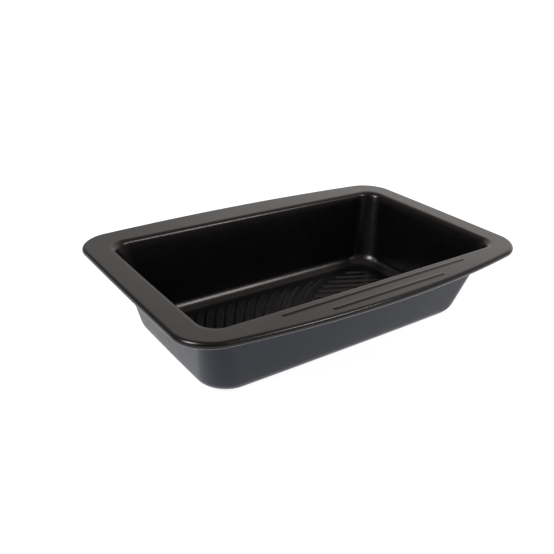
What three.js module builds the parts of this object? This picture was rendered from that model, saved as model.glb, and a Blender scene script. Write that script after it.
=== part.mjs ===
// Deep-drawn loaf pan: one steel sheet with a bonded coating on each side and a wire in its rolled rim.
// Millimetres, +Z up. X runs along the pan, -Y is the side with the two grip beads.
// The origin is under the middle of the pan, on the plane that it stands on.
import * as THREE from "three";
import { mergeVertices } from "three/addons/utils/BufferGeometryUtils.js";

// Overall size: the beads stand above the flange and are the highest thing on the pan
const LENGTH = 275;
const WIDTH = 178;
const HEIGHT = 59;
const BEAD_HEIGHT = 0.6;
const FLANGE_Z = HEIGHT - BEAD_HEIGHT;

// The sheet and its two coatings
const STEEL = 0.8;
const COATING = 0.1;
const SHEET = STEEL + 2 * COATING;

// Opening, at the inner edge of the flat flange
const OPENING_LENGTH = 245.5;
const OPENING_WIDTH = 136.7;
const DRAFT = THREE.MathUtils.degToRad(12.2);
const FLOOR_FILLET = 10;
const LIP_BEND = 4;
const BASE_CORNER = 18;
const MOUTH_CORNER = 12.3;
const SIDE_BOW = 0.6;

// Outer edge of the flange, bowed outwards along its sides, and the roll that hangs under it
const RIM_CORNER = 22;
const FRONT_BOW = 12.4;
const BACK_BOW = 6.7;
const END_BOW = 0.5;
const ROLL = 2.3;
const ROLL_END = THREE.MathUtils.degToRad(260);
const WIRE = 1;

// Grip beads pressed up in the front flange: half length and centre line
const BEADS = [
  { halfLength: 77, y: -71.7 },
  { halfLength: 47.5, y: -80.4 },
];
const BEAD_WIDTH = 4.2;

// Floor ribs: arcs about one far centre, and straight ribs inside the innermost arc
const RIB_HEIGHT = 0.9;
const CREST_SHARE = 0.4;
const ARC_CENTRE = new THREE.Vector2(95, -75);
const SPINE_RADII = [124, 128.6];
const SPINE_WIDTH = 3.8;
const ARC_START = 135;
const ARC_PITCH = 6.9;
const ARC_COUNT = 12;
const ARC_WIDTH = 6;
const STRAIGHT_ANGLE = THREE.MathUtils.degToRad(-24);
const STRAIGHT_PITCH = 7.45;
const STRAIGHT_FIRST = -44.5;
const STRAIGHT_COUNT = 17;
const STRAIGHT_WIDTH = 6.6;
const STRAIGHT_REACH = 120.3;
const RIB_MARGIN = 1.4;

// Mesh density
const CORNER_STEPS = 5;
const LONG_STEPS = 6;
const SHORT_STEPS = 2;
const ROLL_STEPS = 8;
const FILLET_STEPS = 4;
const LIP_STEPS = 3;

// Where the drafted wall leaves the floor and reaches the lip, as distances out from the flat floor's edge
const WALL_TILT = Math.PI / 2 - DRAFT;
const wallFoot = {
  out: FLOOR_FILLET * Math.sin(WALL_TILT),
  z: SHEET + FLOOR_FILLET * (1 - Math.cos(WALL_TILT)),
};
const wallHead = { z: FLANGE_Z - LIP_BEND * (1 - Math.cos(WALL_TILT)) };
wallHead.out = wallFoot.out + (wallHead.z - wallFoot.z) * Math.tan(DRAFT);
const LIP_OUT = wallHead.out + LIP_BEND * Math.sin(WALL_TILT);
const FLOOR_HALF_X = OPENING_LENGTH / 2 - LIP_OUT;
const FLOOR_HALF_Y = OPENING_WIDTH / 2 - LIP_OUT;

// The well's corners seen from above, which tighten evenly from the floor to the mouth
const cornerRadius = (z) => BASE_CORNER + ((MOUTH_CORNER - BASE_CORNER) * (z - SHEET)) / (FLANGE_Z - SHEET);

// A rounded rectangle, anticlockwise from above, with the same count of points whatever its size
function roundedRectangle(halfX, halfY, radius) {
  const corners = [
    { x: 1, y: 1, from: 0, steps: LONG_STEPS },
    { x: -1, y: 1, from: 0.5, steps: SHORT_STEPS },
    { x: -1, y: -1, from: 1, steps: LONG_STEPS },
    { x: 1, y: -1, from: 1.5, steps: SHORT_STEPS },
  ];
  const arcs = corners.map((corner) => {
    const arc = [];
    for (let i = 0; i <= CORNER_STEPS; i++) {
      const angle = (corner.from + (0.5 * i) / CORNER_STEPS) * Math.PI;
      const x = corner.x * (halfX - radius) + radius * Math.cos(angle);
      const y = corner.y * (halfY - radius) + radius * Math.sin(angle);
      arc.push(new THREE.Vector2(x, y));
    }
    return arc;
  });
  return arcs.flatMap((arc, k) => {
    const start = arc[CORNER_STEPS];
    const end = arcs[(k + 1) % 4][0];
    const side = [];
    for (let i = 1; i < corners[k].steps; i++) {
      side.push(start.clone().lerp(end, i / corners[k].steps));
    }
    return [...arc, ...side];
  });
}

// Sides that curve: a point moves in as it nears the ends of its side
function bowed(points, halfX, halfY, frontBow, backBow, endBow) {
  return points.map(({ x, y }) => {
    const sideBow = y < 0 ? frontBow : backBow;
    const along = (x / halfX) ** 2;
    const across = (y / halfY) ** 2;
    return new THREE.Vector2(x * (1 - (endBow / halfX) * across), y * (1 - (sideBow / halfY) * along));
  });
}

function wellRing(out, radius) {
  const halfX = FLOOR_HALF_X + out;
  const halfY = FLOOR_HALF_Y + out;
  return bowed(roundedRectangle(halfX, halfY, radius), halfX, halfY, SIDE_BOW, SIDE_BOW, SIDE_BOW);
}

function rimRing(inset) {
  const halfX = LENGTH / 2 - inset;
  const halfY = WIDTH / 2 - inset;
  const points = roundedRectangle(halfX, halfY, RIM_CORNER - inset);
  return bowed(points, halfX, halfY, FRONT_BOW, BACK_BOW, END_BOW);
}

const lift = (ring, z) => ring.map(({ x, y }) => new THREE.Vector3(x, y, z));

// A ring of the well at a depth under the top side, whose normal leans in from straight up by the tilt
function offsetRing(out, z, tilt, depth) {
  const shift = depth * Math.sin(tilt);
  return lift(wellRing(out + shift, cornerRadius(z) + shift), z - depth * Math.cos(tilt));
}

// The rings of one surface of the sheet, from the floor's edge to the lip of the roll, at a depth under its top side
function surfaceRings(depth) {
  const rings = [];
  for (let i = 0; i <= FILLET_STEPS; i++) {
    const tilt = (WALL_TILT * i) / FILLET_STEPS;
    const out = FLOOR_FILLET * Math.sin(tilt);
    const z = SHEET + FLOOR_FILLET * (1 - Math.cos(tilt));
    rings.push(offsetRing(out, z, tilt, depth));
  }
  for (let i = LIP_STEPS; i >= 0; i--) {
    const tilt = (WALL_TILT * i) / LIP_STEPS;
    const out = LIP_OUT - LIP_BEND * Math.sin(tilt);
    const z = FLANGE_Z - LIP_BEND * (1 - Math.cos(tilt));
    rings.push(offsetRing(out, z, tilt, depth));
  }
  for (let i = 0; i <= ROLL_STEPS; i++) {
    const turn = (ROLL_END * i) / ROLL_STEPS;
    const radius = ROLL - depth;
    rings.push(lift(rimRing(ROLL - radius * Math.sin(turn)), FLANGE_Z - ROLL + radius * Math.cos(turn)));
  }
  return rings;
}

// The outline of a bar of a given half width about a centre line, with pointed ends
function barOutline(line, half) {
  const left = [];
  const right = [];
  line.forEach((point, i) => {
    const before = line[Math.max(i - 1, 0)];
    const after = line[Math.min(i + 1, line.length - 1)];
    const along = after.clone().sub(before).normalize();
    const across = new THREE.Vector2(-along.y, along.x).multiplyScalar(half);
    left.unshift(point.clone().add(across));
    right.push(point.clone().sub(across));
  });
  const tip = (end, inner) => end.clone().add(end.clone().sub(inner).setLength(half));
  const last = line.length - 1;
  return [...right, tip(line[last], line[last - 1]), ...left, tip(line[0], line[1])];
}

const bar = (line, width, height) => ({
  foot: barOutline(line, width / 2),
  crest: barOutline(line, (width / 2) * CREST_SHARE),
  height,
});

// True where a rib's centre may lie: inside the flat floor, clear of its edge by the rib's half width and a margin
function onFloor(point, width) {
  const inset = RIB_MARGIN + width / 2;
  const x = Math.max(Math.abs(point.x) - (FLOOR_HALF_X - BASE_CORNER), 0);
  const y = Math.max(Math.abs(point.y) - (FLOOR_HALF_Y - BASE_CORNER), 0);
  return Math.hypot(x, y) <= BASE_CORNER - inset;
}

// The stretch of a path that passes a test, as a few evenly spaced points
function stretch(pathAt, from, to, passes, steps) {
  const FINE = 2000;
  let first = null;
  let last = null;
  for (let i = 0; i <= FINE; i++) {
    const t = from + ((to - from) * i) / FINE;
    if (passes(pathAt(t))) {
      first ??= t;
      last = t;
    }
  }
  if (first === null) {
    return null;
  }
  const points = [];
  for (let i = 0; i <= steps; i++) {
    points.push(pathAt(first + ((last - first) * i) / steps));
  }
  return points;
}

function arcRib(radius, width) {
  const at = (angle) => new THREE.Vector2(Math.cos(angle), Math.sin(angle)).multiplyScalar(radius).add(ARC_CENTRE);
  const line = stretch(at, Math.PI, Math.PI / 2, (point) => onFloor(point, width), 5);
  return line && bar(line, width, RIB_HEIGHT);
}

function straightRib(offset) {
  const along = new THREE.Vector2(Math.cos(STRAIGHT_ANGLE), Math.sin(STRAIGHT_ANGLE));
  const across = new THREE.Vector2(-along.y, along.x).multiplyScalar(offset);
  const at = (t) => across.clone().addScaledVector(along, t);
  const reach = STRAIGHT_REACH - STRAIGHT_WIDTH / 2;
  const inside = (point) => onFloor(point, STRAIGHT_WIDTH) && point.distanceTo(ARC_CENTRE) <= reach;
  const line = stretch(at, -LENGTH, LENGTH, inside, 1);
  return line && line[0].distanceTo(line[1]) > STRAIGHT_WIDTH ? bar(line, STRAIGHT_WIDTH, RIB_HEIGHT) : null;
}

function floorRibs() {
  const ribs = SPINE_RADII.map((radius) => arcRib(radius, SPINE_WIDTH));
  for (let i = 0; i < ARC_COUNT; i++) {
    ribs.push(arcRib(ARC_START + i * ARC_PITCH, ARC_WIDTH));
  }
  for (let i = 0; i < STRAIGHT_COUNT; i++) {
    ribs.push(straightRib(STRAIGHT_FIRST + i * STRAIGHT_PITCH));
  }
  return ribs.filter((rib) => rib);
}

function gripBeads() {
  return BEADS.map(({ halfLength, y }) => {
    const end = halfLength - BEAD_WIDTH / 2;
    return bar([new THREE.Vector2(-end, y), new THREE.Vector2(end, y)], BEAD_WIDTH, BEAD_HEIGHT);
  });
}

// Triangles between two rings, facing up where the second ring lies outside the first
function band(inner, outer) {
  return inner.flatMap((a, j) => {
    const next = (j + 1) % inner.length;
    const b = outer[j];
    const c = outer[next];
    const d = inner[next];
    return [[a, b, c], [a, c, d]];
  });
}

// Triangles of a level face at height z, facing up, with holes
function levelFace(outline, holes, z) {
  const points = [outline, ...holes].flat();
  const faces = THREE.ShapeUtils.triangulateShape(outline, holes);
  return faces.map((face) => {
    const [a, b, c] = face.map((k) => points[k]);
    const turn = (b.x - a.x) * (c.y - a.y) - (b.y - a.y) * (c.x - a.x);
    return lift(turn > 0 ? [a, b, c] : [a, c, b], z);
  });
}

// A level face with raised bars pressed in it
function embossedFace(outline, holes, bars, z) {
  const flat = levelFace(outline, [...holes, ...bars.map((item) => item.foot)], z);
  const raised = bars.flatMap(({ foot, crest, height }) => [
    ...band(lift(crest, z + height), lift(foot, z)),
    ...levelFace(crest, [], z + height),
  ]);
  return [...flat, ...raised];
}

const flattened = (ring) => ring.map(({ x, y }) => new THREE.Vector2(x, y));

// One whole surface of the sheet, facing the sheet's top side. Only the faces above the steel carry the ribs.
function sheetSurface(depth) {
  const ribbed = depth <= COATING;
  const rings = surfaceRings(depth);
  const mouth = FILLET_STEPS + 1 + LIP_STEPS;
  const triangles = embossedFace(flattened(rings[0]), [], ribbed ? floorRibs() : [], SHEET - depth);
  const opening = flattened(rings[mouth]);
  const edge = flattened(rings[mouth + 1]);
  triangles.push(...embossedFace(edge, [opening], ribbed ? gripBeads() : [], FLANGE_Z - depth));
  for (let i = 0; i + 1 < rings.length; i++) {
    if (i !== mouth) {
      triangles.push(...band(rings[i], rings[i + 1]));
    }
  }
  return { triangles, lip: rings[rings.length - 1] };
}

function closedMesh(name, triangles, look) {
  const geometry = new THREE.BufferGeometry().setFromPoints(triangles.flat());
  const merged = mergeVertices(geometry, 1e-4);
  merged.computeVertexNormals();
  const mesh = new THREE.Mesh(merged, new THREE.MeshStandardMaterial(look));
  mesh.name = name;
  return mesh;
}

// A layer of the sheet between two of its surfaces, closed along the cut edge inside the roll
function layer(name, top, bottom, look) {
  const under = bottom.triangles.map(([a, b, c]) => [a, c, b]);
  const cutEdge = band(top.lip, bottom.lip);
  return closedMesh(name, [...top.triangles, ...under, ...cutEdge], look);
}

// The wire that runs all round inside the roll
function rimWire(look) {
  const SIDES = 8;
  const loops = [];
  for (let i = 0; i < SIDES; i++) {
    const turn = (2 * Math.PI * i) / SIDES;
    loops.push(lift(rimRing(ROLL - WIRE * Math.sin(turn)), FLANGE_Z - ROLL + WIRE * Math.cos(turn)));
  }
  const triangles = loops.flatMap((loop, i) => band(loop, loops[(i + 1) % SIDES]));
  return closedMesh("rim_wire", triangles, look);
}

const coatingTop = sheetSurface(0);
const steelTop = sheetSurface(COATING);
const steelUnder = sheetSurface(COATING + STEEL);
const coatingUnder = sheetSurface(SHEET);

const pan = new THREE.Group();
pan.add(
  layer("nonstick_coating", coatingTop, steelTop, { color: 0x3a3533, roughness: 0.38, metalness: 0.2 }),
  layer("steel_pan", steelTop, steelUnder, { color: 0x9a9da0, roughness: 0.35, metalness: 1 }),
  layer("outer_coating", steelUnder, coatingUnder, { color: 0x4a4d58, roughness: 0.42, metalness: 0.2 }),
  rimWire({ color: 0xa8aaac, roughness: 0.3, metalness: 1 }),
);

export default pan;
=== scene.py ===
"""The loaf pan's looks.

The coated sheet, its rolled rim and the wire in the roll stand on a white floor in a soft studio.
"""

import math

import bpy
from mathutils import Matrix, Vector
from mathutils.geometry import delaunay_2d_cdt


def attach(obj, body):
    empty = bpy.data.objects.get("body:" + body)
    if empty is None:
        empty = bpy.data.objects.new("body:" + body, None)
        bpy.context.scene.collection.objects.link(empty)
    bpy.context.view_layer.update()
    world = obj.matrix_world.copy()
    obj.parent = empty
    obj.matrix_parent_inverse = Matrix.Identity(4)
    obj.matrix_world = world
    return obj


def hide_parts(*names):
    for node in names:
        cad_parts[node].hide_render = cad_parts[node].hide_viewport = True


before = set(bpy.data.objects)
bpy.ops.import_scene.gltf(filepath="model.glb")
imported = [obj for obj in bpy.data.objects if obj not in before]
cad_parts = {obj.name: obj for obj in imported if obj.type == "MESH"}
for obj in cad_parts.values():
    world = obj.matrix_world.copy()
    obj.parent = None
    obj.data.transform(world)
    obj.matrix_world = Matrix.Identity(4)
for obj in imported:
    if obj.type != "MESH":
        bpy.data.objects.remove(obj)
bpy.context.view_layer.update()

MM = 0.001

# Sizes in millimetres: the same driving dimensions as the CAD sheet
LENGTH = 275.0
WIDTH = 178.0
HEIGHT = 59.0
BEAD_HEIGHT = 0.6
FLANGE_Z = HEIGHT - BEAD_HEIGHT
STEEL = 0.8
COATING = 0.1
SHEET = STEEL + 2 * COATING

# The well: opening, drafted walls and corners seen from above
OPENING_LENGTH = 245.5
OPENING_WIDTH = 136.7
DRAFT = math.radians(12.2)
FLOOR_FILLET = 10.0
LIP_BEND = 4.0
BASE_CORNER = 18.0
MOUTH_CORNER = 12.3
SIDE_BOW = 0.6

# The flange's edge, the roll under it and the wire's radius
RIM_CORNER = 22.0
FRONT_BOW = 12.4
BACK_BOW = 6.7
END_BOW = 0.5
ROLL = 2.3
ROLL_END = math.radians(260)
WIRE = 1.0

# The grip beads on the front flange, each as half its length and its place along Y
BEADS = ((77.0, -71.7), (47.5, -80.4))
BEAD_WIDTH = 4.2

# The floor's ribs: arcs about one centre, two narrow spines inside them, and straight ribs inside those
RIB_HEIGHT = 0.9
RIB_MARGIN = 1.4
ARC_CENTRE = Vector((95.0, -75.0))
SPINE_RADII = (124.0, 128.6)
SPINE_WIDTH = 3.8
ARC_START = 135.0
ARC_PITCH = 6.9
ARC_COUNT = 12
ARC_WIDTH = 6.0
STRAIGHT_ANGLE = math.radians(-24)
STRAIGHT_PITCH = 7.45
STRAIGHT_FIRST = -44.5
STRAIGHT_COUNT = 17
STRAIGHT_WIDTH = 6.6
STRAIGHT_REACH = 120.3

# Mesh density: steps along each stretch, and lengths in millimetres
CORNER_STEPS = 24
LONG_STEPS = 80
SHORT_STEPS = 36
ROLL_STEPS = 26
FILLET_STEPS = 10
WALL_STEPS = 10
LIP_STEPS = 8
RIB_STEPS = 10
END_STEPS = 10
WIRE_SIDES = 16
SEARCH_STEPS = 2000
LINE_STEP = 3.0
GUARD = 0.25
MERGE_DISTANCE = 1e-6
SHARP_ANGLE = math.radians(60)

# The noise textures mostly stay between these two values
NOISE_LOW = 0.3
NOISE_HIGH = 0.7

# The white floor: a dark grey that takes little light from the lamps, and an even glow of its own
FLOOR_REACH = 30.0
FLOOR_GREY = 0.25
FLOOR_ROUGHNESS = 0.9
FLOOR_GLOW = 0.92

# The backdrop: azimuth and elevation of its middle in degrees, and its brightness at shares of the
# way from the point opposite the middle, 0, to the middle, 1
BACKDROP_MIDDLE = (64, 20)
BACKDROP_STOPS = (
    (0.0, 0.10),
    (0.22, 0.10),
    (0.40, 0.30),
    (0.60, 0.34),
    (0.80, 0.46),
    (0.90, 0.58),
    (0.95, 0.95),
    (1.0, 1.2),
)
BACKDROP_TINT = (0.51, 0.495, 0.48)
BACKDROP_STRENGTH = 2.0

# Softboxes: azimuth, elevation, width and height as angles from the pan in degrees, and brightness
SOFTBOXES = {
    "key_softbox": (-96, 46, 15, 28, 25),
    "fill_softbox": (144, 40, 16, 12, 17),
    "back_softbox": (14, 36, 36, 24, 0.4),
}
SOFTBOX_DISTANCE = 2.5

# The camera: its lens, where it stands in millimetres, the azimuth and elevation in degrees of the
# way it looks, and how far it is rolled
SENSOR_WIDTH = 36.0
LENS = 42.15
SIGHT_RANGE = 200.0
CAMERA_PLACE = Vector((-267.77, -316.20, 234.0))
CAMERA_LOOK = (37.32, -26.12)
CAMERA_ROLL = math.radians(3.38)

# The well's section, worked out from the sizes above: the wall's foot and head, and the lip
WALL_TILT = math.pi / 2 - DRAFT
FOOT_OUT = FLOOR_FILLET * math.sin(WALL_TILT)
FOOT_Z = SHEET + FLOOR_FILLET * (1 - math.cos(WALL_TILT))
HEAD_Z = FLANGE_Z - LIP_BEND * (1 - math.cos(WALL_TILT))
HEAD_OUT = FOOT_OUT + (HEAD_Z - FOOT_Z) * math.tan(DRAFT)
LIP_OUT = HEAD_OUT + LIP_BEND * math.sin(WALL_TILT)
FLOOR_HALF_X = OPENING_LENGTH / 2 - LIP_OUT
FLOOR_HALF_Y = OPENING_WIDTH / 2 - LIP_OUT


# ---------------------------------------------------------------- outlines

def rounded_rectangle(half_x, half_y, radius):
    """Anticlockwise from above, with the same count of points whatever the size."""
    # Each corner's signs, its start in half turns, and the steps along the side after it
    corners = (
        (1, 1, 0.0, LONG_STEPS),
        (-1, 1, 0.5, SHORT_STEPS),
        (-1, -1, 1.0, LONG_STEPS),
        (1, -1, 1.5, SHORT_STEPS),
    )
    arcs = []
    for sign_x, sign_y, start, _ in corners:
        arc = []
        for i in range(CORNER_STEPS + 1):
            angle = (start + 0.5 * i / CORNER_STEPS) * math.pi
            x = sign_x * (half_x - radius) + radius * math.cos(angle)
            y = sign_y * (half_y - radius) + radius * math.sin(angle)
            arc.append(Vector((x, y)))
        arcs.append(arc)
    points = []
    for k, (_, _, _, steps) in enumerate(corners):
        points += arcs[k]
        start, end = arcs[k][-1], arcs[(k + 1) % 4][0]
        points += [start.lerp(end, i / steps) for i in range(1, steps)]
    return points


def bowed(points, half_x, half_y, front_bow, back_bow, end_bow):
    """Sides that curve: a point moves in as it nears the ends of its side."""
    result = []
    for x, y in points:
        side_bow = front_bow if y < 0 else back_bow
        bowed_x = x * (1 - end_bow / half_x * (y / half_y) ** 2)
        bowed_y = y * (1 - side_bow / half_y * (x / half_x) ** 2)
        result.append(Vector((bowed_x, bowed_y)))
    return result


def well_ring(out, radius):
    """The well's outline at a distance out from the floor's edge."""
    half_x, half_y = FLOOR_HALF_X + out, FLOOR_HALF_Y + out
    points = rounded_rectangle(half_x, half_y, radius)
    return bowed(points, half_x, half_y, SIDE_BOW, SIDE_BOW, SIDE_BOW)


def rim_ring(inset):
    """The flange's outline at a distance in from the pan's outermost edge."""
    half_x, half_y = LENGTH / 2 - inset, WIDTH / 2 - inset
    points = rounded_rectangle(half_x, half_y, RIM_CORNER - inset)
    return bowed(points, half_x, half_y, FRONT_BOW, BACK_BOW, END_BOW)


def lift(ring, z):
    return [Vector((x, y, z)) for x, y in ring]


def corner_radius(z):
    """The well's corners seen from above, which tighten evenly from the floor to the mouth."""
    return BASE_CORNER + (MOUTH_CORNER - BASE_CORNER) * (z - SHEET) / (FLANGE_Z - SHEET)


def well_profile():
    """The well's section on the top side: distance out from the floor's edge, height, normal's tilt."""
    profile = []
    for i in range(FILLET_STEPS + 1):
        tilt = WALL_TILT * i / FILLET_STEPS
        out = FLOOR_FILLET * math.sin(tilt)
        z = SHEET + FLOOR_FILLET * (1 - math.cos(tilt))
        profile.append((out, z, tilt))
    for i in range(1, WALL_STEPS):
        share = i / WALL_STEPS
        out = FOOT_OUT + (HEAD_OUT - FOOT_OUT) * share
        z = FOOT_Z + (HEAD_Z - FOOT_Z) * share
        profile.append((out, z, WALL_TILT))
    for i in range(LIP_STEPS, -1, -1):
        tilt = WALL_TILT * i / LIP_STEPS
        out = LIP_OUT - LIP_BEND * math.sin(tilt)
        z = FLANGE_Z - LIP_BEND * (1 - math.cos(tilt))
        profile.append((out, z, tilt))
    return profile


def well_rings(depth):
    """The floor's edge, the fillet, the drafted wall and the lip, at a depth under the top side."""
    rings = [lift(well_ring(-GUARD, BASE_CORNER - GUARD), SHEET - depth)]
    for out, z, tilt in well_profile():
        shift = depth * math.sin(tilt)
        ring = well_ring(out + shift, corner_radius(z) + shift)
        rings.append(lift(ring, z - depth * math.cos(tilt)))
    rings.append(lift(well_ring(LIP_OUT + GUARD, MOUTH_CORNER + GUARD), FLANGE_Z - depth))
    return rings


def roll_rings(depth):
    """The flange's edge and the roll under it, to the lip inside the roll."""
    radius = ROLL - depth
    rings = [lift(rim_ring(ROLL + GUARD), FLANGE_Z - depth)]
    for i in range(ROLL_STEPS + 1):
        turn = ROLL_END * i / ROLL_STEPS
        ring = rim_ring(ROLL - radius * math.sin(turn))
        rings.append(lift(ring, FLANGE_Z - ROLL + radius * math.cos(turn)))
    return rings


# ---------------------------------------------------------------- pressed ribs and beads

def bar_outline(line, half):
    """A bar of a given half width about a centre line, with round ends, anticlockwise."""
    right, left = [], []
    for i, point in enumerate(line):
        along = (line[min(i + 1, len(line) - 1)] - line[max(i - 1, 0)]).normalized()
        across = Vector((-along.y, along.x)) * half
        right.append(point - across)
        left.insert(0, point + across)

    def cap(end, start):
        turn = math.atan2(start.y - end.y, start.x - end.x)
        steps = [turn + math.pi * i / END_STEPS for i in range(1, END_STEPS)]
        return [end + half * Vector((math.cos(t), math.sin(t))) for t in steps]

    return right + cap(line[-1], right[-1]) + left + cap(line[0], left[-1])


def rib_profile(share):
    """A pressed rib's height, as a share of the whole, at a share of its half width in from its foot."""
    return 0.5 - 0.5 * math.cos(math.pi * share)


def rib_contours(line, width, height):
    """Outlines from a flat guard just outside the foot to the crest, each with its height."""
    half = width / 2
    contours = [(bar_outline(line, half + GUARD), 0.0)]
    for i in range(RIB_STEPS):
        share = i / RIB_STEPS
        contours.append((bar_outline(line, half * (1 - share)), height * rib_profile(share)))
    return contours


def on_floor(point, width):
    """True where a rib's centre may lie: inside the flat floor, clear of its edge."""
    inset = RIB_MARGIN + width / 2
    x = max(abs(point.x) - (FLOOR_HALF_X - BASE_CORNER), 0)
    y = max(abs(point.y) - (FLOOR_HALF_Y - BASE_CORNER), 0)
    return math.hypot(x, y) <= BASE_CORNER - inset


def stretch(path, start, end, passes, spacing):
    """The stretch of a path that passes a test, as points about a spacing apart."""
    places = (start + (end - start) * i / SEARCH_STEPS for i in range(SEARCH_STEPS + 1))
    inside = [t for t in places if passes(path(t))]
    if not inside:
        return None
    first, last = inside[0], inside[-1]
    length = (path(first) - path((first + last) / 2)).length * 2
    steps = max(1, round(length / spacing))
    return [path(first + (last - first) * i / steps) for i in range(steps + 1)]


def arc_rib(radius, width):
    """A rib along an arc about the common centre; None where the arc misses the floor."""
    def path(angle):
        return ARC_CENTRE + radius * Vector((math.cos(angle), math.sin(angle)))

    line = stretch(path, math.pi, math.pi / 2, lambda p: on_floor(p, width), LINE_STEP)
    if not line:
        return None
    return rib_contours(list(reversed(line)), width, RIB_HEIGHT)


def straight_rib(offset):
    """A slanted rib at an offset from the floor's middle; None where too little of it fits."""
    along = Vector((math.cos(STRAIGHT_ANGLE), math.sin(STRAIGHT_ANGLE)))
    across = Vector((-along.y, along.x)) * offset
    reach = STRAIGHT_REACH - STRAIGHT_WIDTH / 2

    def inside(point):
        return on_floor(point, STRAIGHT_WIDTH) and (point - ARC_CENTRE).length <= reach

    line = stretch(lambda t: across + along * t, -LENGTH, LENGTH, inside, LENGTH)
    if not line or (line[-1] - line[0]).length <= STRAIGHT_WIDTH:
        return None
    return rib_contours(line, STRAIGHT_WIDTH, RIB_HEIGHT)


def floor_ribs():
    ribs = [arc_rib(radius, SPINE_WIDTH) for radius in SPINE_RADII]
    ribs += [arc_rib(ARC_START + i * ARC_PITCH, ARC_WIDTH) for i in range(ARC_COUNT)]
    ribs += [straight_rib(STRAIGHT_FIRST + i * STRAIGHT_PITCH) for i in range(STRAIGHT_COUNT)]
    return [rib for rib in ribs if rib]


def grip_beads():
    beads = []
    for half_length, y in BEADS:
        end = half_length - BEAD_WIDTH / 2
        line = [Vector((-end, y)), Vector((end, y))]
        beads.append(rib_contours(line, BEAD_WIDTH, BEAD_HEIGHT))
    return beads


# ---------------------------------------------------------------- meshes

class Shell:
    """Points in millimetres and the faces between them."""

    def __init__(self):
        self.points = []
        self.faces = []

    def ring(self, points):
        """Adds a closed row of points; returns their numbers."""
        first = len(self.points)
        self.points += points
        return list(range(first, len(self.points)))

    def band(self, inner, outer):
        """Quads between two rings, facing up where the second lies outside the first."""
        for j, a in enumerate(inner):
            k = (j + 1) % len(inner)
            self.faces.append((a, outer[j], outer[k], inner[k]))

    def bands(self, rings):
        """A band from each ring to the next."""
        for inner, outer in zip(rings, rings[1:]):
            self.band(inner, outer)

    def level_face(self, outline, holes):
        """A level face inside an outline and outside its holes, facing up."""
        whole_hull = 0
        loops = [outline, *holes]
        index = [i for loop in loops for i in loop]
        flat = [self.points[i].to_2d() for i in index]
        edges = []
        start = 0
        for loop in loops:
            edges += [(start + j, start + (j + 1) % len(loop)) for j in range(len(loop))]
            start += len(loop)
        _, _, faces, origins, _, _ = delaunay_2d_cdt(flat, edges, [], whole_hull, MERGE_DISTANCE)
        polygons = [[self.points[i].to_2d() for i in loop] for loop in loops]
        for face in faces:
            corners = [index[origins[v][0]] for v in face]
            centre = sum((self.points[i].to_2d() for i in corners), Vector((0, 0))) / 3
            if contains(polygons[0], centre) and not any(contains(p, centre) for p in polygons[1:]):
                self.faces.append(tuple(corners))

    def bars(self, bars, z):
        """Raised bars; returns their outer rings, which are holes in the level face around them."""
        feet = []
        for contours in bars:
            rings = [self.ring(lift(outline, z + height)) for outline, height in contours]
            self.bands(rings[::-1])
            self.level_face(rings[-1], [])
            feet.append(rings[0])
        return feet


def contains(polygon, point):
    """Even-odd test."""
    inside = False
    x, y = point
    ax, ay = polygon[-1]
    for bx, by in polygon:
        if (ay > y) != (by > y) and x < (bx - ax) * (y - ay) / (by - ay) + ax:
            inside = not inside
        ax, ay = bx, by
    return inside


def sheet_surface(shell, depth):
    """Adds one whole surface of the sheet, facing up; returns the ring at its edge inside the roll."""
    well = [shell.ring(points) for points in well_rings(depth)]
    roll = [shell.ring(points) for points in roll_rings(depth)]
    shell.level_face(well[0], shell.bars(floor_ribs(), SHEET - depth))
    shell.level_face(roll[0], [well[-1], *shell.bars(grip_beads(), FLANGE_Z - depth)])
    shell.bands(well)
    shell.bands(roll)
    return roll[-1]


def add_piece(name, shell, material, node):
    """A mesh piece that rides on the root and stands for a CAD node, which it hides."""
    mesh = bpy.data.meshes.new(name)
    mesh.from_pydata([point * MM for point in shell.points], [], shell.faces)
    mesh.shade_smooth()
    mesh.set_sharp_from_angle(angle=SHARP_ANGLE)
    mesh.materials.append(material)
    piece = bpy.data.objects.new(name, mesh)
    bpy.context.scene.collection.objects.link(piece)
    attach(piece, "root")
    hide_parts(node)


def add_layer(name, top_depth, bottom_depth, material, node):
    """A layer of the sheet between two depths, closed along the cut edge inside the roll."""
    shell = Shell()
    top_edge = sheet_surface(shell, top_depth)
    top_count = len(shell.faces)
    bottom_edge = sheet_surface(shell, bottom_depth)
    shell.faces[top_count:] = [tuple(reversed(face)) for face in shell.faces[top_count:]]
    shell.band(top_edge, bottom_edge)
    add_piece(name, shell, material, node)


def add_wire(name, material, node):
    """The wire that the rim is rolled round, one closed loop."""
    shell = Shell()
    loops = []
    for i in range(WIRE_SIDES):
        turn = 2 * math.pi * i / WIRE_SIDES
        ring = rim_ring(ROLL - WIRE * math.sin(turn))
        loops.append(shell.ring(lift(ring, FLANGE_Z - ROLL + WIRE * math.cos(turn))))
    shell.bands([*loops, loops[0]])
    add_piece(name, shell, material, node)


# ---------------------------------------------------------------- materials

def new_material(name):
    material = bpy.data.materials.new(name)
    material.use_nodes = True
    return material, material.node_tree, material.node_tree.nodes["Principled BSDF"]


def object_noise(tree, scale, detail):
    """Noise fixed to the piece; its scale counts features in a metre."""
    place = tree.nodes.new("ShaderNodeTexCoord")
    noise = tree.nodes.new("ShaderNodeTexNoise")
    noise.inputs["Scale"].default_value = scale
    noise.inputs["Detail"].default_value = detail
    tree.links.new(place.outputs["Object"], noise.inputs["Vector"])
    return noise.outputs["Fac"]


def two_tones(tree, noise, dark, light):
    """A colour that drifts between two tones."""
    node = tree.nodes.new("ShaderNodeValToRGB")
    stops = ((NOISE_LOW, dark), (NOISE_HIGH, light))
    for element, (position, colour) in zip(node.color_ramp.elements, stops):
        element.position = position
        element.color = (*colour, 1)
    tree.links.new(noise, node.inputs["Fac"])
    return node.outputs["Color"]


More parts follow.
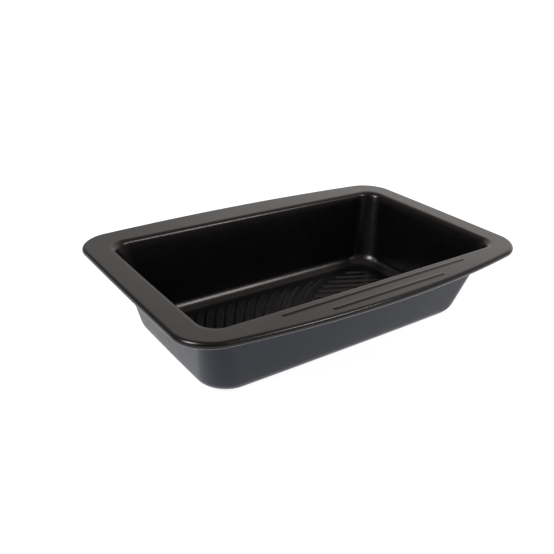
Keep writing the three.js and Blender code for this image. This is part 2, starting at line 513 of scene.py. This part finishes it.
def span(tree, noise, low, high):
    """A value that drifts between two limits."""
    node = tree.nodes.new("ShaderNodeMapRange")
    node.inputs["From Min"].default_value = NOISE_LOW
    node.inputs["From Max"].default_value = NOISE_HIGH
    node.inputs["To Min"].default_value = low
    node.inputs["To Max"].default_value = high
    tree.links.new(noise, node.inputs["Value"])
    return node.outputs["Result"]


def bump(tree, noise, distance, strength, below=None):
    """Fine relief, its distance in metres, on top of the relief below if there is one."""
    node = tree.nodes.new("ShaderNodeBump")
    node.inputs["Distance"].default_value = distance
    node.inputs["Strength"].default_value = strength
    tree.links.new(noise, node.inputs["Height"])
    if below is not None:
        tree.links.new(below, node.inputs["Normal"])
    return node.outputs["Normal"]


def coated(name, dark, light, roughness, index, tint):
    """A sprayed satin coating: fine grain, a soft orange peel and slow shifts of tone and gloss."""
    material, tree, shader = new_material(name)
    tone = object_noise(tree, scale=38, detail=3)
    grain = object_noise(tree, scale=2600, detail=2)
    peel = object_noise(tree, scale=420, detail=1)
    gloss = object_noise(tree, scale=90, detail=4)
    soft = bump(tree, peel, distance=0.00006, strength=0.25)
    fine = bump(tree, grain, distance=0.00002, strength=0.25, below=soft)
    tree.links.new(two_tones(tree, tone, dark, light), shader.inputs["Base Color"])
    tree.links.new(span(tree, gloss, *roughness), shader.inputs["Roughness"])
    tree.links.new(fine, shader.inputs["Normal"])
    shader.inputs["IOR"].default_value = index
    shader.inputs["Specular Tint"].default_value = (*tint, 1)
    return material


def bare_metal(name, dark, light, roughness):
    """Uncoated metal with a slightly uneven tone, gloss and surface."""
    material, tree, shader = new_material(name)
    tone = object_noise(tree, scale=160, detail=4)
    gloss = object_noise(tree, scale=900, detail=3)
    grain = object_noise(tree, scale=1800, detail=2)
    tree.links.new(two_tones(tree, tone, dark, light), shader.inputs["Base Color"])
    tree.links.new(span(tree, gloss, *roughness), shader.inputs["Roughness"])
    tree.links.new(bump(tree, grain, distance=0.00003, strength=0.3), shader.inputs["Normal"])
    shader.inputs["Metallic"].default_value = 1.0
    return material


def nonstick_satin():
    """The brown-black coating inside the pan, on its flange and round the roll."""
    dark = (0.0012, 0.0011, 0.0011)
    light = (0.0019, 0.0017, 0.0017)
    tint = (1.0, 0.94, 0.92)
    return coated("nonstick_satin", dark, light, roughness=(0.22, 0.27), index=1.38, tint=tint)


def outer_satin():
    """The blue-grey coating on the outside walls and the underside."""
    dark = (0.0022, 0.0030, 0.0085)
    light = (0.0034, 0.0046, 0.0120)
    tint = (0.86, 0.91, 1.0)
    return coated("outer_satin", dark, light, roughness=(0.28, 0.34), index=1.32, tint=tint)


def steel():
    """The carbon steel sheet, bare only at its cut edge."""
    return bare_metal("steel", (0.42, 0.43, 0.44), (0.56, 0.57, 0.58), roughness=(0.25, 0.4))


def galvanised_wire():
    return bare_metal("galvanised_wire", (0.45, 0.46, 0.47), (0.62, 0.63, 0.64), roughness=(0.3, 0.5))


def floor_white():
    """A matt white that glows evenly, so that the lamps' patches and shadows hardly show on it."""
    material, _, shader = new_material("floor_white")
    shader.inputs["Base Color"].default_value = (FLOOR_GREY, FLOOR_GREY, FLOOR_GREY, 1)
    shader.inputs["Roughness"].default_value = FLOOR_ROUGHNESS
    shader.inputs["Specular IOR Level"].default_value = 0.0
    shader.inputs["Emission Color"].default_value = (1, 1, 1, 1)
    shader.inputs["Emission Strength"].default_value = FLOOR_GLOW
    return material


# ---------------------------------------------------------------- stage

def add_floor():
    mesh = bpy.data.meshes.new("floor")
    corners = [(x * FLOOR_REACH, y * FLOOR_REACH, 0) for x, y in ((-1, -1), (1, -1), (1, 1), (-1, 1))]
    mesh.from_pydata(corners, [], [(0, 1, 2, 3)])
    mesh.materials.append(floor_white())
    floor = bpy.data.objects.new("floor", mesh)
    bpy.context.scene.collection.objects.link(floor)


def aim(azimuth, elevation):
    """A direction by its compass angle from +Y towards +X and its height above the horizon, in degrees."""
    turn, rise = math.radians(azimuth), math.radians(elevation)
    return Vector((math.sin(turn) * math.cos(rise), math.cos(turn) * math.cos(rise), math.sin(rise)))


def add_world():
    """A backdrop, brightest low behind the pan and to the right, that fades to a dim room all round."""
    world = bpy.data.worlds.new("studio")
    bpy.context.scene.world = world
    world.use_nodes = True
    tree = world.node_tree
    place = tree.nodes.new("ShaderNodeTexCoord")
    facing = tree.nodes.new("ShaderNodeVectorMath")
    facing.operation = "DOT_PRODUCT"
    facing.inputs[1].default_value = aim(*BACKDROP_MIDDLE)
    tree.links.new(place.outputs["Generated"], facing.inputs[0])
    share = tree.nodes.new("ShaderNodeMapRange")
    share.inputs["From Min"].default_value = -1
    tree.links.new(facing.outputs["Value"], share.inputs["Value"])
    glow = tree.nodes.new("ShaderNodeValToRGB")
    elements = glow.color_ramp.elements
    while len(elements) < len(BACKDROP_STOPS):
        elements.new(0.5)
    for element, (position, value) in zip(elements, BACKDROP_STOPS):
        element.position = position
        element.color = (*(value * channel for channel in BACKDROP_TINT), 1)
    tree.links.new(share.outputs["Result"], glow.inputs["Fac"])
    background = tree.nodes["Background"]
    tree.links.new(glow.outputs["Color"], background.inputs["Color"])
    background.inputs["Strength"].default_value = BACKDROP_STRENGTH


def add_softbox(name, azimuth, elevation, wide, high, brightness):
    """A rectangular lamp that faces the pan; its size is given as the angles that it fills, in degrees."""
    data = bpy.data.lights.new(name, "AREA")
    data.shape = "RECTANGLE"
    data.size = 2 * SOFTBOX_DISTANCE * math.tan(math.radians(wide / 2))
    data.size_y = 2 * SOFTBOX_DISTANCE * math.tan(math.radians(high / 2))
    data.energy = brightness * math.pi * data.size * data.size_y
    lamp = bpy.data.objects.new(name, data)
    bpy.context.scene.collection.objects.link(lamp)
    lamp.location = aim(azimuth, elevation) * SOFTBOX_DISTANCE
    lamp.rotation_euler = aim(azimuth, elevation).to_track_quat("Z", "Y").to_euler()


def camera_axes():
    """The camera's right, its up and the direction behind it."""
    azimuth, elevation = CAMERA_LOOK
    ahead = aim(azimuth, elevation)
    level = aim(azimuth + 90, 0)
    up = level.cross(ahead)
    right = level * math.cos(CAMERA_ROLL) + up * math.sin(CAMERA_ROLL)
    above = up * math.cos(CAMERA_ROLL) - level * math.sin(CAMERA_ROLL)
    return right, above, -ahead


def add_camera():
    data = bpy.data.cameras.new("camera")
    data.sensor_width = SENSOR_WIDTH
    data.lens = LENS
    data.clip_end = SIGHT_RANGE
    camera = bpy.data.objects.new("camera", data)
    bpy.context.scene.collection.objects.link(camera)
    bpy.context.scene.camera = camera
    matrix = Matrix(camera_axes()).transposed().to_4x4()
    matrix.translation = CAMERA_PLACE * MM
    camera.matrix_world = matrix


# ---------------------------------------------------------------- the scene

add_layer("nonstick_skin", 0, COATING, nonstick_satin(), "nonstick_coating")
add_layer("steel_sheet", COATING, COATING + STEEL, steel(), "steel_pan")
add_layer("outer_skin", COATING + STEEL, SHEET, outer_satin(), "outer_coating")
add_wire("stiffening_wire", galvanised_wire(), "rim_wire")

add_floor()
add_world()
for softbox, values in SOFTBOXES.items():
    add_softbox(softbox, *values)
add_camera()
bpy.context.scene.view_settings.view_transform = "Standard"
